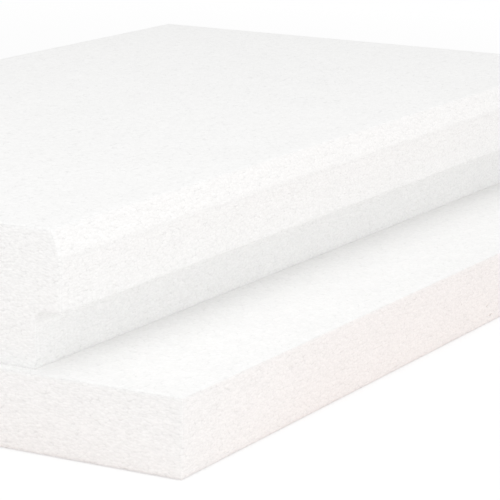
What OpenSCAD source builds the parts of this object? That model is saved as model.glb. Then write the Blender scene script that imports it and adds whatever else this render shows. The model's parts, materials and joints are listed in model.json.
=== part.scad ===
// Floor infill block of expanded polystyrene for a floor of concrete beams.
// A thick slab carries a narrower body. The body's shoulders rest on the heels of two neighbouring beams,
// and the slab runs on below one of the heels as a tongue that insulates the beam from underneath.
// The block is cut from one piece of foam, so it is one solid with one profile along its length.
//
// X runs across the block towards the tongue's tip, Y along its length and Z up.
// The origin is on the underside, in the middle of the block's outer box.

/* [Slab] */
// Length of the block, along the beams
block_length = 1200; // [400:10:1500]
// Width of the slab, from its plain edge to the tongue's tip
slab_width = 700; // [450:5:900]
// Thickness of the slab and of its tongue
slab_thickness = 70; // [30:1:150]
// Reach of the tongue, from the body's foot to the tongue's tip
tongue_reach = 150; // [80:1:220]

/* [Beam notch] */
// Height of the notch that takes a beam's heel
notch_height = 50; // [25:1:90]
// Depth of the notch, which is also the shoulder's overhang
notch_depth = 25; // [14:1:60]
// Radius of the notch's inner corner
notch_round = 9; // [1:0.5:12]

/* [Shoulders] */
// Height of the upright side face above the notch
side_height = 47; // [20:1:120]
// Height of the sloping face above the side face
chamfer_height = 25; // [5:1:60]
// Width of the sloping face, seen from above
chamfer_width = 10; // [2:1:40]

/* [Front end] */
// Distance that the body stands back from the slab's front end
end_set_back = 12; // [2:1:40]

/* [Hidden] */
$fn = 64;

// Extra length of a cutting shape, so that it passes clean through the face it leaves by
cut_margin = 5;

// Levels, from the underside up
notch_top = slab_thickness + notch_height;
shoulder_top = notch_top + side_height;
block_top = shoulder_top + chamfer_height;

// Places across the block, from the tongue's tip back to the plain edge
block_width = slab_width + notch_depth;
tip_x = block_width / 2;
foot_x = tip_x - tongue_reach;
side_x = foot_x + notch_depth;
crown_x = side_x - chamfer_width;
edge_x = tip_x - slab_width;
far_side_x = edge_x - notch_depth;
far_crown_x = far_side_x + chamfer_width;

// Places along the block
back_y = block_length / 2;

// Extrudes a profile drawn across the block, from the back end forwards
module along_block(length) {
    translate([0, back_y, 0])
        rotate([90, 0, 0])
            linear_extrude(height = length)
                children();
}

// Space below a shoulder. The origin is where the foot's line meets the notch's ceiling,
// and the notch's mouth is on the right.
module heel_notch() {
    drop = notch_top + cut_margin;
    mouth = notch_depth + cut_margin;
    translate([0, -drop])
        square([mouth, drop - notch_round]);
    translate([notch_round, -drop])
        square([mouth - notch_round, drop]);
    translate([notch_round, -notch_round])
        circle(r = notch_round);
}

// Slab with its tongue, seen from the front end
module slab_profile() {
    translate([edge_x, 0])
        square([slab_width, slab_thickness]);
}

// Body with its two chamfered shoulders, seen from the front end. Its foot runs down through the slab.
module body_profile() {
    difference() {
        polygon([
            [far_side_x, 0],
            [side_x, 0],
            [side_x, shoulder_top],
            [crown_x, block_top],
            [far_crown_x, block_top],
            [far_side_x, shoulder_top]
        ]);
        translate([foot_x, notch_top])
            heel_notch();
        translate([edge_x, notch_top])
            mirror([1, 0])
                heel_notch();
    }
}

// The whole block, with the body standing back from the slab's front end
module infill_block() {
    color("whitesmoke") {
        along_block(block_length)
            slab_profile();
        along_block(block_length - end_set_back)
            body_profile();
    }
}

infill_block();
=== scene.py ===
# %% [markdown]
# # A foam block for a floor of beams
# The object is an infill block of white expanded polystyrene. Such blocks lie between the concrete
# beams of a floor. This one is cut from a single piece of foam: a thick slab that runs out to one
# side as a tongue, and a narrower body with sloping shoulders that stands on the slab. The solid
# model already has the true form and size. This lesson adds what a solid model lacks: edges that
# are a little crushed, a surface of pressed beads, and a studio with a camera to look at it.

# %% The solid model
import json
import math

import bmesh
import bpy
from mathutils import Matrix, Vector, noise


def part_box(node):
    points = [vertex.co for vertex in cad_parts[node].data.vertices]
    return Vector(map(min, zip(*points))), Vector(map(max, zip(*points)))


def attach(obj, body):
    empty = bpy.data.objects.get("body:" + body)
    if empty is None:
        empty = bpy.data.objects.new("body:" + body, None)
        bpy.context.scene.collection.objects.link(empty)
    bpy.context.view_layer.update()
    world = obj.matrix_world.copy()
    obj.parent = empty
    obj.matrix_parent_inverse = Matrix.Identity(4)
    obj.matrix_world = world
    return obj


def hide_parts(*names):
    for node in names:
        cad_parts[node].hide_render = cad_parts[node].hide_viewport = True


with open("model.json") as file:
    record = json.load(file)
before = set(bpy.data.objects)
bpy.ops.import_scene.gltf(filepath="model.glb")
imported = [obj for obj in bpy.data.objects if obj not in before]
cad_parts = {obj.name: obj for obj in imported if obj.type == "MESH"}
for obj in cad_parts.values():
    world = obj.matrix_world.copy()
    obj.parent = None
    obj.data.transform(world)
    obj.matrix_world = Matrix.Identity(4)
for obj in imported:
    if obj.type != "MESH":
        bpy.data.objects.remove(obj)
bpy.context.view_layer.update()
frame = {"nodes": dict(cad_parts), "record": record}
MM = 0.001
scene = bpy.context.scene

# %% [markdown]
# ## The camera
# The picture is taken from a little above the block and from the tongue's side, with a long lens,
# so that the block's edges hardly run together. A camera can be set by eye. Here its place,
# direction and lens were worked out from the straight edges in the photograph, so they are plain
# numbers, measured from the tongue's near lower corner. Blender's lens is in millimetres on a
# sensor, so the focal length in pixels is turned into that.

# %% Camera
low_corner, high_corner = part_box("infill_block")
near_corner = Vector((high_corner.x, low_corner.y, low_corner.z))

camera_offset = Vector((1.0085, -1.7656, 0.6418))
camera_heading = math.radians(28.26)
camera_tilt = math.radians(12.42)
camera_roll = math.radians(1.08)
level_view = math.radians(90)
picture_width_px = 500
focal_length_px = 2599
sensor_width_mm = 36
farthest_view = 100

camera_data = bpy.data.cameras.new("camera")
camera_data.sensor_width = sensor_width_mm
camera_data.lens = sensor_width_mm * focal_length_px / picture_width_px
camera_data.clip_end = farthest_view
camera = bpy.data.objects.new("camera", camera_data)
camera_turn = (
    Matrix.Rotation(camera_heading, 4, "Z")
    @ Matrix.Rotation(level_view - camera_tilt, 4, "X")
    @ Matrix.Rotation(camera_roll, 4, "Z")
)
camera.matrix_world = Matrix.Translation(near_corner + camera_offset) @ camera_turn
scene.collection.objects.link(camera)
scene.camera = camera
print("camera lens:", round(camera_data.lens, 1), "mm")

# %% [markdown]
# ## The block's mesh
# The block could be drawn again from its profile, but a copy of the solid can't be wrong in size.
# A mesh that comes from a solid model is made of loose triangles, so its double points are merged
# first. Then a limited dissolve joins the triangles that lie in one plane, and every flat face of
# the foam is a single face that later steps can work on.

# %% Copy of the solid
merge_distance = 0.01 * MM
flat_limit = math.radians(1)

foam = bmesh.new()
foam.from_mesh(frame["nodes"]["infill_block"].data)
bmesh.ops.remove_doubles(foam, verts=foam.verts, dist=merge_distance)
bmesh.ops.dissolve_limit(foam, angle_limit=flat_limit, verts=foam.verts, edges=foam.edges)
print("faces of the plain block:", len(foam.faces))

# %% [markdown]
# ## Crushed edges
# A hot wire cuts foam with a crisp edge, and handling crushes it at once by a fraction of a bead.
# So every outer edge gets a small rounding. A Bevel modifier could give it too, but the later
# steps need real faces to cut, so the bevel operator makes it. Inner corners, such as the line
# where the body's foot meets the tongue, stay sharp.

# %% Rounded edges
edge_rounding = 1.1 * MM
edge_steps = 3
corner_limit = math.radians(15)

convex_edges = [edge for edge in foam.edges if edge.is_convex]
outer_edges = [edge for edge in convex_edges if edge.calc_face_angle() > corner_limit]
rounding = bmesh.ops.bevel(
    foam,
    geom=outer_edges,
    offset=edge_rounding,
    offset_type="OFFSET",
    segments=edge_steps,
    profile=0.5,
    affect="EDGES",
    material=-1,
)
print("outer edges:", len(outer_edges), "faces of the rounding:", len(rounding["faces"]))

# %% [markdown]
# ## A band along each edge
# Wear belongs to the edges, and the wide faces stay flat. Two insets on every wide face draw two
# narrow bands along its border. The outer band takes up the unevenness of the edge. The inner one
# is a guard: all its points stay in the face's plane, so smooth shading can't carry the slant of a
# worn edge out over the wide face.

# %% Bands
band_width = 2 * MM
guard_width = 1 * MM
narrowest_flat = 8 * MM


def mean_width(face):
    """A face's area, shared out along its longest edge."""
    return face.calc_area() / max(edge.calc_length() for edge in face.edges)


wide_faces = [face for face in foam.faces if mean_width(face) > narrowest_flat]
for width in (band_width, guard_width):
    bmesh.ops.inset_individual(foam, faces=wide_faces, thickness=width, use_even_offset=True)
print("wide faces:", len(wide_faces))

# %% [markdown]
# ## A mark on the edges
# The wear and the finish both have to know where the edges are. A list of points would be out of
# date after the next cut. A point attribute is not: it is one on the points of the rounding and
# zero elsewhere, and points that later cuts add get a value between their neighbours'.

# %% Marked edge points
edge_mark = foam.verts.layers.float.new("edge_mark")
edge_points = {vert for face in rounding["faces"] for vert in face.verts}
for vert in edge_points:
    vert[edge_mark] = 1.0
print("points of the rounding:", len(edge_points))

# %% [markdown]
# ## Slices as fine as a bead
# Uneven edges need points to move, about one for each bead of the foam. Subdividing everything
# would give millions of faces. Instead the block is sliced crosswise along its whole length, as
# bread is, and only its two ends are also sliced in the other two directions. Each plane cuts only
# the faces that still lie ahead of it, which keeps it quick, and it passes through points that are
# almost on it, so that no thin slivers are left.

# %% Slice helpers
slice_step = 3 * MM
plane_tolerance = 0.05 * MM

AXIS_X = Vector((1, 0, 0))
AXIS_Y = Vector((0, 1, 0))
AXIS_Z = Vector((0, 0, 1))


def with_borders(faces):
    """The faces with their edges and points, each once and always in the same order."""
    return list(dict.fromkeys(item for face in faces for item in (*face.verts, *face.edges, face)))


def cut_faces(faces, axis, place):
    """Cuts faces with a plane square to an axis, and gives the faces that they have become."""
    result = bmesh.ops.bisect_plane(
        foam,
        geom=with_borders(faces),
        dist=plane_tolerance,
        plane_co=axis * place,
        plane_no=axis,
    )
    return [item for item in result["geom"] if isinstance(item, bmesh.types.BMFace)]


def slice_faces(faces, axis, low, high):
    """Cuts faces a step apart, between two places on an axis."""
    for index in range(1, round((high - low) / slice_step)):
        place = low + index * slice_step
        halves = cut_faces(faces, axis, place)
        faces = [face for face in halves if face.calc_center_median().dot(axis) > place]


print("slices are", round(slice_step / MM, 1), "mm thick")

# %% Slices
front_zone = 18 * MM
back_zone = 6 * MM


def end_faces():
    """The faces close to the block's two ends."""
    front = low_corner.y + front_zone
    back = high_corner.y - back_zone
    centres = [(face, face.calc_center_median().y) for face in foam.faces]
    return [face for face, y in centres if y < front or y > back]


slice_faces(foam.faces[:], AXIS_Y, low_corner.y, high_corner.y)
slice_faces(end_faces(), AXIS_X, low_corner.x, high_corner.x)
slice_faces(end_faces(), AXIS_Z, low_corner.z, high_corner.z)
print("faces after slicing:", len(foam.faces))

# %% [markdown]
# ## Wear
# Along a cut edge single beads are pressed in or torn out, so the edge is finely uneven. Points
# could be moved at random, but then neighbours would have nothing to do with each other. Noise
# from mathutils gives a number for each place in space, and always the same one. A quick noise of
# about a bead's size makes the edge nibbled, and a slow noise says where it is worn more. Points
# only move inwards, so the block never outgrows the solid model.

# %% Worn edges
bead_size = 4.0 * MM
worn_stretch = 45 * MM
least_wear = 0.1 * MM
bead_wear = 0.4 * MM
stretch_wear = 0.6 * MM
stretch_limit = 0.25


def unit_noise(place):
    """Noise at a place, carried from its own range of -1 to 1 to one of 0 to 1."""
    return (1 + noise.noise(place)) / 2


def wear_depth(place):
    """How far an edge point at a place is pressed in."""
    nibble = unit_noise(place / bead_size)
    stretch = max(0.0, noise.noise(place / worn_stretch) - stretch_limit)
    return least_wear + bead_wear * nibble + stretch_wear * stretch * nibble


foam.normal_update()
worn_points = [vert for vert in foam.verts if vert[edge_mark] > 0]
moves = [vert.normal * wear_depth(vert.co) * vert[edge_mark] for vert in worn_points]
for vert, move in zip(worn_points, moves):
    vert.co -= move
deepest_wear = max(move.length for move in moves)
print("edge points moved:", len(moves), "deepest, in mm:", round(deepest_wear / MM, 2))

# %% [markdown]
# ## Two missing beads
# Two small dark specks show on the tongue's side face, where a bead has come out. They could be
# painted, but a real dent also works from other sides and under other light. A few neighbouring
# slices of the side face are cut below and above the speck. The squares between the cuts get a
# narrow rim, which keeps the face around them flat, and are subdivided. Then their inner points
# are pushed in as a bowl. A second point attribute says how far a point's colour is darkened to a
# brown, most in the middle of the bowl.

# %% Dent helpers
dent_slices = 3
dent_cuts = 5
upright_limit = 0.999
speck_mark = foam.verts.layers.float.new("speck_mark")


def side_face(place):
    """The flat face on the tongue's side that holds a place."""
    for face in foam.faces:
        if face.normal.x > upright_limit and abs(face.verts[0].co.x - place.x) < merge_distance:
            along = [vert.co.y for vert in face.verts]
            up = [vert.co.z for vert in face.verts]
            if min(along) <= place.y <= max(along) and min(up) <= place.z <= max(up):
                return face


def cut_squares(place, tall):
    """Cuts a short row of squares around a place on the tongue's side."""
    steps = [index - (dent_slices - 1) / 2 for index in range(dent_slices)]
    places = [place + AXIS_Y * slice_step * step for step in steps]
    for level in (place.z - tall / 2, place.z + tall / 2):
        cut_faces([side_face(at) for at in places], AXIS_Z, level)
    return [side_face(at) for at in places]


def press_bowl(squares, depth, darkening):
    """Subdivides a row of squares and pushes the points inside it in, furthest in the middle."""
    centre = sum((square.calc_center_median() for square in squares), Vector()) / len(squares)
    corners = [vert.co - centre for square in squares for vert in square.verts]
    half_length = max(abs(corner.y) for corner in corners)
    half_height = max(abs(corner.z) for corner in corners)
    edges = list(dict.fromkeys(edge for square in squares for edge in square.edges))
    fine = bmesh.ops.subdivide_edges(foam, edges=edges, cuts=dent_cuts, use_grid_fill=True)
    for vert in (item for item in fine["geom_inner"] if isinstance(item, bmesh.types.BMVert)):
        offset = vert.co - centre
        reach = (offset.y / half_length) ** 2 + (offset.z / half_height) ** 2
        bowl = max(0.0, 1 - reach)
        vert.co.x -= depth * bowl
        # colours the point darker and browner, most in the middle of the bowl
        vert[speck_mark] = darkening * bowl


print("a dent spans", dent_slices, "slices")

# %% Dents
dent_rim = 0.4 * MM
dents = [
    {"along": 625.5 * MM, "height": 18.8 * MM, "tall": 3.6 * MM, "depth": 1.2 * MM, "darkening": 0.24},
    {"along": 634.5 * MM, "height": 7.6 * MM, "tall": 3.8 * MM, "depth": 1.5 * MM, "darkening": 0.34},
]

for dent in dents:
    squares = cut_squares(near_corner + Vector((0, dent["along"], dent["height"])), dent["tall"])
    bmesh.ops.inset_region(foam, faces=squares, thickness=dent_rim, use_even_offset=True)
    press_bowl(squares, dent["depth"], dent["darkening"])
print("dents:", len(dents), "faces now:", len(foam.faces))

# %% [markdown]
# ## Faces with many corners
# Where a finely cut face meets a coarse one, the coarse face has a long row of points along one
# straight edge. Such a face has to become triangles at some time, and a careless split leaves
# needles without any area. So these faces are split here, with the method that looks for well
# shaped triangles. Faces with four corners stay as they are.

# %% Triangles
quad_corners = 4

many_cornered = [face for face in foam.faces if len(face.verts) > quad_corners]
split = bmesh.ops.triangulate(
    foam,
    faces=many_cornered,
    quad_method="BEAUTY",
    ngon_method="BEAUTY",
)
print("faces with many corners:", len(many_cornered), "triangles from them:", len(split["faces"]))

# %% [markdown]
# ## The finished piece
# The mesh goes into an object at the origin, because its place is already in its points. Faces are
# shaded smooth, so the rounding of the edges catches the light softly, and inner corners are
# marked sharp so that they stay crisp. The piece stands for the solid's node and rides on its only
# body.

# %% Block object
inner_corner_limit = math.radians(50)

for face in foam.faces:
    face.smooth = True
for edge in foam.edges:
    edge.smooth = edge.calc_face_angle(0.0) < inner_corner_limit

block_mesh = bpy.data.meshes.new("foam_block")
foam.to_mesh(block_mesh)
foam.free()
block = bpy.data.objects.new("foam_block", block_mesh)
scene.collection.objects.link(block)
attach(block, "root")
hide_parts("infill_block")
block_mesh.calc_loop_triangles()
print("triangles:", len(block_mesh.loop_triangles))

# %% [markdown]
# ## Small tools for node trees
# A finish is a tree of nodes, and many of its nodes do one of two plain jobs: carry a value to
# another range, or join two values. Each job gets a short function that adds the node, links it
# and gives back its output. The same could be wired by hand in the shader editor, but with the
# functions the finishes below read like recipes.

# %% Value helpers
NONE_TO_ALL = (0.0, 1.0)
ALL_TO_NONE = (1.0, 0.0)


def remap(tree, value, from_range, to_range):
    """A value carried from one range to another, and held inside it."""
    node = tree.nodes.new("ShaderNodeMapRange")
    names = ("From Min", "From Max", "To Min", "To Max")
    for name, number in zip(names, (*from_range, *to_range)):
        node.inputs[name].default_value = number
    tree.links.new(value, node.inputs["Value"])
    return node.outputs["Result"]


def combine(tree, operation, first, second=0.0):
    """Two values joined by a Math node; some operations need only the first one."""
    node = tree.nodes.new("ShaderNodeMath")
    node.operation = operation
    for socket, value in zip(node.inputs, (first, second)):
        if isinstance(value, (int, float)):
            socket.default_value = value
        else:
            tree.links.new(value, socket)
    return node.outputs["Value"]


print("value helpers: remap, combine")

# %% [markdown]
# ## Pressed beads
# Expanded polystyrene is made of small beads that swell in a mould and press each other into cells
# with many sides. A cut shows them as a fine pattern. Each bead has its own slight tone and is a
# low dome that stands a little higher or lower than the next one. The seams between beads are a
# touch darker, and where several beads meet there can be a tiny gap. A picture of foam would show
# its joins on a block this long. A cell texture fills space with just such cells, and because it
# is solid, every cut face shows its own section of it. The node group puts out one value for each
# of these things. Its lengths are in shares of a bead.

# %% Bead group
beads = bpy.data.node_groups.new("pressed_beads", "ShaderNodeTree")
beads.interface.new_socket("Vector", in_out="INPUT", socket_type="NodeSocketVector")
beads.interface.new_socket("Scale", in_out="INPUT", socket_type="NodeSocketFloat")
for name in ("Tone", "Seam", "Gap", "Height"):
    beads.interface.new_socket(name, in_out="OUTPUT", socket_type="NodeSocketFloat")
beads_in = beads.nodes.new("NodeGroupInput").outputs
beads_out = beads.nodes.new("NodeGroupOutput").inputs


def cells(feature):
    """The outputs of a texture that fills space with cells."""
    node = beads.nodes.new("ShaderNodeTexVoronoi")
    node.feature = feature
    for name in ("Vector", "Scale"):
        beads.links.new(beads_in[name], node.inputs[name])
    return node.outputs


nearest = cells("F1")
from_centre = nearest["Distance"]
from_border = cells("DISTANCE_TO_EDGE")["Distance"]
chance_node = beads.nodes.new("ShaderNodeSeparateColor")
beads.links.new(nearest["Color"], chance_node.inputs["Color"])
chance = chance_node.outputs
print("nodes that make the cells:", len(beads.nodes))

# %% Bead values
seam_width = 0.12
gap_reach = (0.66, 0.84)
gap_chance = (0.55, 0.7)
dome_drop = 1.8
bead_step = 0.2
gap_drop = 0.25

seam = remap(beads, from_border, (0.0, seam_width), ALL_TO_NONE)
junction = remap(beads, from_centre, gap_reach, NONE_TO_ALL)
gap = combine(beads, "MULTIPLY", junction, remap(beads, chance["Green"], gap_chance, NONE_TO_ALL))

fall = combine(beads, "MULTIPLY", from_centre, from_centre)
step = combine(beads, "MULTIPLY", chance["Blue"], bead_step)
height = combine(beads, "SUBTRACT", step, combine(beads, "MULTIPLY", fall, dome_drop))
height = combine(beads, "SUBTRACT", height, combine(beads, "MULTIPLY", gap, gap_drop))

bead_values = {"Tone": chance["Red"], "Seam": seam, "Gap": gap, "Height": height}
for name, value in bead_values.items():
    beads.links.new(value, beads_out[name])
print("values of a bead:", list(bead_values))

# %% [markdown]
# ## The foam's material
# The foam is white and quite matt. Its material starts from the Principled shader and gets the
# bead group. The beads lie flattened and a little drawn out along the block, as in foam that was
# moulded under pressure, so a Mapping node scales the coordinates. All patterns read Object
# coordinates: the grain stays on the block, and needs no unwrapping.

# %% Foam material
bead_stretch = (1, 0.75, 1.85)
bead_shift = (13 * MM, 0, 21 * MM)


def stretched(tree, vector, scale, shift=(0, 0, 0)):
    """Coordinates that a Mapping node stretches along the axes and shifts."""
    node = tree.nodes.new("ShaderNodeMapping")
    node.inputs["Scale"].default_value = scale
    node.inputs["Location"].default_value = shift
    tree.links.new(vector, node.inputs["Vector"])
    return node.outputs["Vector"]


foam_material = bpy.data.materials.new("white_foam")
foam_material.use_nodes = True
tree = foam_material.node_tree
shader = tree.nodes["Principled BSDF"]
coordinates = tree.nodes.new("ShaderNodeTexCoord").outputs["Object"]

bead_node = tree.nodes.new("ShaderNodeGroup")
bead_node.node_tree = beads
bead_node.inputs["Scale"].default_value = 1 / bead_size
tree.links.new(stretched(tree, coordinates, bead_stretch, bead_shift), bead_node.inputs["Vector"])
bead = bead_node.outputs
block_mesh.materials.append(foam_material)
print("bead size, in mm:", round(bead_size / MM, 1))

# %% [markdown]
# ## Marks of the cutting wire
# The hot wire leaves fine level lines on the upright faces and long faint streaks along the block,
# and slow clouds of tone run through the whole foam. Painted pictures could show them, but
# stretched noise has no joins. The level lines are noise that is drawn out sideways. On level
# faces they would turn into blotches, so the face's normal fades them out there.

# %% Wire marks
line_stretch = (0.4, 0.4, 1)
line_scale = 760
line_detail = 0
streak_stretch = (1, 0.03, 1)
streak_scale = 700
streak_detail = 2
cloud_scale = 9
cloud_detail = 3
noise_middle = 0.5


def soft_noise(tree, vector, scale, detail):
    """A noise texture's value, from zero to one and mostly near the middle."""
    node = tree.nodes.new("ShaderNodeTexNoise")
    node.inputs["Scale"].default_value = scale
    node.inputs["Detail"].default_value = detail
    tree.links.new(vector, node.inputs["Vector"])
    return node.outputs["Fac"]


def uprightness(tree):
    """One on upright faces, zero on level ones, and between on slopes."""
    geometry = tree.nodes.new("ShaderNodeNewGeometry")
    normal = tree.nodes.new("ShaderNodeSeparateXYZ")
    tree.links.new(geometry.outputs["Normal"], normal.inputs["Vector"])
    levelness = combine(tree, "ABSOLUTE", normal.outputs["Z"])
    return combine(tree, "SUBTRACT", 1.0, levelness)


line_places = stretched(tree, coordinates, line_stretch)
line_noise = soft_noise(tree, line_places, line_scale, line_detail)
line_swing = combine(tree, "SUBTRACT", line_noise, noise_middle)
lines = combine(tree, "MULTIPLY", line_swing, uprightness(tree))
streak_places = stretched(tree, coordinates, streak_stretch)
streaks = soft_noise(tree, streak_places, streak_scale, streak_detail)
clouds = soft_noise(tree, coordinates, cloud_scale, cloud_detail)
print("height of a wire line, in mm:", round(1 / line_scale / MM, 2))

# %% [markdown]
# ## Shades of white
# Beads, wire marks and a painted shade on the edges change the white only a little. Mixing in
# several greys would make it hard to see how dark they become together. Here each value is carried
# to a shade close to one, and all shades are multiplied. The last row reads the mark on the edges
# and paints a little shade there, which evens out the extra light that the rounded edges catch
# from the lamps.

# %% Foam shade


def point_mark(tree, name):
    """A mark that the mesh carries on its points."""
    node = tree.nodes.new("ShaderNodeAttribute")
    node.attribute_name = name
    return node.outputs["Fac"]


# In each row: a value, the range that is used of it, and the shades that this range is carried to
grain = [
    (bead["Tone"], (0.0, 1.0), (0.98, 1.016)),
    (bead["Seam"], (0.0, 1.0), (1.0, 0.97)),
    (bead["Gap"], (0.0, 1.0), (1.0, 0.935)),
    (lines, (-0.2, 0.2), (1.026, 0.974)),
    (streaks, (0.45, 0.75), (1.0, 0.985)),
    (clouds, (0.4, 0.7), (1.0, 0.99)),
    # painted shade on the rounded edges, which evens out the extra light that they catch from the
    # lamps
    (point_mark(tree, "edge_mark"), (0.0, 1.0), (1.0, 0.975)),
]

shade = 1.0
for value, value_range, shade_range in grain:
    layer_shade = remap(tree, value, value_range, shade_range)
    shade = combine(tree, "MULTIPLY", shade, layer_shade)
print("layers of grain:", len(grain))

# %% [markdown]
# ## Colour and relief
# The colour comes from the record, so that the solid and the finished piece agree, and the shade
# scales it. In the middle of the dents it turns a darker brown. The beads' height feeds a Bump
# node, because beads are far too small and too many for real points. A bead that has its own tone
# is also a little smoother or rougher than the next, and the gloss stays low.

# %% Foam colour and relief
foam_colour = frame["record"]["materials"][0]["base_color"][:3]
# the darker brown that the middle of each dent is coloured
speck_colour = (0.42, 0.34, 0.25, 1)
roughness_range = (0.72, 0.9)
foam_gloss = 0.3
bump_depth = 0.22 * MM

tint = tree.nodes.new("ShaderNodeVectorMath")
tint.operation = "SCALE"
tint.inputs[0].default_value = foam_colour
tree.links.new(shade, tint.inputs["Scale"])
specked = tree.nodes.new("ShaderNodeMix")
specked.data_type = "RGBA"
specked.inputs["B"].default_value = speck_colour
tree.links.new(tint.outputs["Vector"], specked.inputs["A"])
tree.links.new(point_mark(tree, "speck_mark"), specked.inputs["Factor"])

bump = tree.nodes.new("ShaderNodeBump")
bump.inputs["Distance"].default_value = bump_depth
tree.links.new(bead["Height"], bump.inputs["Height"])

shader.inputs["Specular IOR Level"].default_value = foam_gloss
tree.links.new(specked.outputs["Result"], shader.inputs["Base Color"])
tree.links.new(remap(tree, bead["Tone"], NONE_TO_ALL, roughness_range), shader.inputs["Roughness"])
tree.links.new(bump.outputs["Normal"], shader.inputs["Normal"])
print("foam colour:", [round(part, 3) for part in foam_colour])

# %% [markdown]
# ## The floor
# The block lies on a plain pale floor, and the picture's ground is white. Brighter lamps would
# also turn the floor white, but they would burn out the white foam. Light Path tells what kind of
# ray meets a surface. A ray that comes from the camera, by a reflection or through glass sees a
# white floor that partly glows, so that it looks white and still takes the block's shadow. Further
# off it glows fully and runs into the white surroundings without a line. All other rays see a
# floor without any glow. Close to the block it is warm, and the light that it throws back warms
# the block's lower faces. Further off it is white, so the light as a whole stays white.

# %% Shader helpers
WHITE = (1, 1, 1, 1)


def seen_directly(tree):
    """One for a camera, glossy or transmission ray, and zero for any other."""
    path = tree.nodes.new("ShaderNodeLightPath").outputs
    mirrored = combine(tree, "MAXIMUM", path["Is Glossy Ray"], path["Is Transmission Ray"])
    return combine(tree, "MAXIMUM", path["Is Camera Ray"], mirrored)


def plain_shader(tree, kind, colour):
    """A shader of one colour."""
    node = tree.nodes.new(kind)
    node.inputs["Color"].default_value = colour
    return node.outputs[0]


def mixed(tree, factor, first, second):
    """Two shaders joined by a Mix Shader node."""
    node = tree.nodes.new("ShaderNodeMixShader")
    for socket, value in zip(node.inputs, (factor, first, second)):
        tree.links.new(value, socket)
    return node.outputs["Shader"]


print("shader helpers: seen_directly, plain_shader, mixed")

# %% Floor shape
floor_reach = 40.0
floor_gap = 0.3 * MM

floor_shape = bmesh.new()
floor_level = Matrix.Translation((0, 0, low_corner.z - floor_gap))
bmesh.ops.create_grid(
    floor_shape,
    x_segments=1,
    y_segments=1,
    size=floor_reach,
    matrix=floor_level,
)
floor_mesh = bpy.data.meshes.new("floor")
floor_shape.to_mesh(floor_mesh)
floor_shape.free()
floor = bpy.data.objects.new("floor", floor_mesh)
scene.collection.objects.link(floor)
print("floor, in metres:", 2 * floor_reach, "square")

# %% Floor finish
warm_floor = (0.88, 0.765, 0.73, 1)
white_floor = (0.90, 0.90, 0.90, 1)
floor_oval = (1, 1.25, 1)
warmth_fade = (0.6, 1.1)
glow_fade = (0.9, 3.0)
glow_range = (0.62, 1.0)

floor_material = bpy.data.materials.new("pale_floor")
floor_material.use_nodes = True
floor_tree = floor_material.node_tree
floor_tree.nodes.remove(floor_tree.nodes["Principled BSDF"])

floor_coordinates = floor_tree.nodes.new("ShaderNodeTexCoord").outputs["Object"]
distance_node = floor_tree.nodes.new("ShaderNodeVectorMath")
distance_node.operation = "LENGTH"
floor_tree.links.new(stretched(floor_tree, floor_coordinates, floor_oval), distance_node.inputs[0])
distance = distance_node.outputs["Value"]

shadowed = plain_shader(floor_tree, "ShaderNodeBsdfDiffuse", WHITE)
glowing = plain_shader(floor_tree, "ShaderNodeEmission", WHITE)
shown = mixed(floor_tree, remap(floor_tree, distance, glow_fade, glow_range), shadowed, glowing)
warm = plain_shader(floor_tree, "ShaderNodeBsdfDiffuse", warm_floor)
pale = plain_shader(floor_tree, "ShaderNodeBsdfDiffuse", white_floor)
unseen = mixed(floor_tree, remap(floor_tree, distance, warmth_fade, NONE_TO_ALL), warm, pale)
surface = mixed(floor_tree, seen_directly(floor_tree), unseen, shown)
floor_tree.links.new(surface, floor_tree.nodes["Material Output"].inputs["Surface"])
floor_mesh.materials.append(floor_material)
print("warm floor within", warmth_fade[0], "m, white floor from", warmth_fade[1], "m")

# %% [markdown]
# ## The surroundings
# In a studio light comes back from all walls. A world that is evenly bright does the same for the
# block, and fills its shadows softly. It is a good deal weaker than white, so that the lamps can
# still shape the block. Seen directly, it is white like the floor.

# %% Surroundings
sky_strength = 0.675

studio = bpy.data.worlds.new("studio")
studio.use_nodes = True
scene.world = studio
sky_tree = studio.node_tree
soft_sky = sky_tree.nodes["Background"]
soft_sky.inputs["Color"].default_value = WHITE
soft_sky.inputs["Strength"].default_value = sky_strength
white_sky = plain_shader(sky_tree, "ShaderNodeBackground", WHITE)
sky = mixed(sky_tree, seen_directly(sky_tree), soft_sky.outputs["Background"], white_sky)
sky_tree.links.new(sky, sky_tree.nodes["World Output"].inputs["Surface"])
print("strength of the surroundings:", sky_strength)

# %% [markdown]
# ## Soft light
# Large area lamps give light with soft borders, as softboxes do; a sun or a spot would draw hard
# shadows. One hangs above the block, a little towards its front end, and makes the flat tops
# bright. One stands low on the right, so that its light also reaches into the notch below the
# shoulder. A weaker one in front lifts the end faces. Together they are just weak enough that the
# white foam keeps its grain and doesn't burn out.

# %% Lamps
softboxes = {
    "top_softbox": {"offset": Vector((0.3, -0.35, 3.0)), "size": 3.5, "watts": 32.0},
    "side_softbox": {"offset": Vector((3.9, -0.3, 0.5)), "size": 2.0, "watts": 32.2},
    "front_softbox": {"offset": Vector((0.6, -3.4, 1.6)), "size": 2.0, "watts": 24.0},
}
block_middle = (low_corner + high_corner) / 2


def add_softbox(name, offset, size, watts):
    """A square area lamp that points at the block's middle and isn't seen itself."""
    lamp_data = bpy.data.lights.new(name, "AREA")
    lamp_data.size = size
    lamp_data.energy = watts
    lamp = bpy.data.objects.new(name, lamp_data)
    direction = (-offset).to_track_quat("-Z", "Y").to_matrix().to_4x4()
    lamp.matrix_world = Matrix.Translation(block_middle + offset) @ direction
    lamp.visible_camera = False
    lamp.visible_glossy = False
    scene.collection.objects.link(lamp)


for name, values in softboxes.items():
    add_softbox(name, **values)
print("lamps:", list(softboxes))

# %% [markdown]
# ## Picture settings
# The Standard view shows a colour about as it is written.

# %% Finish
scene.view_settings.view_transform = "Standard"
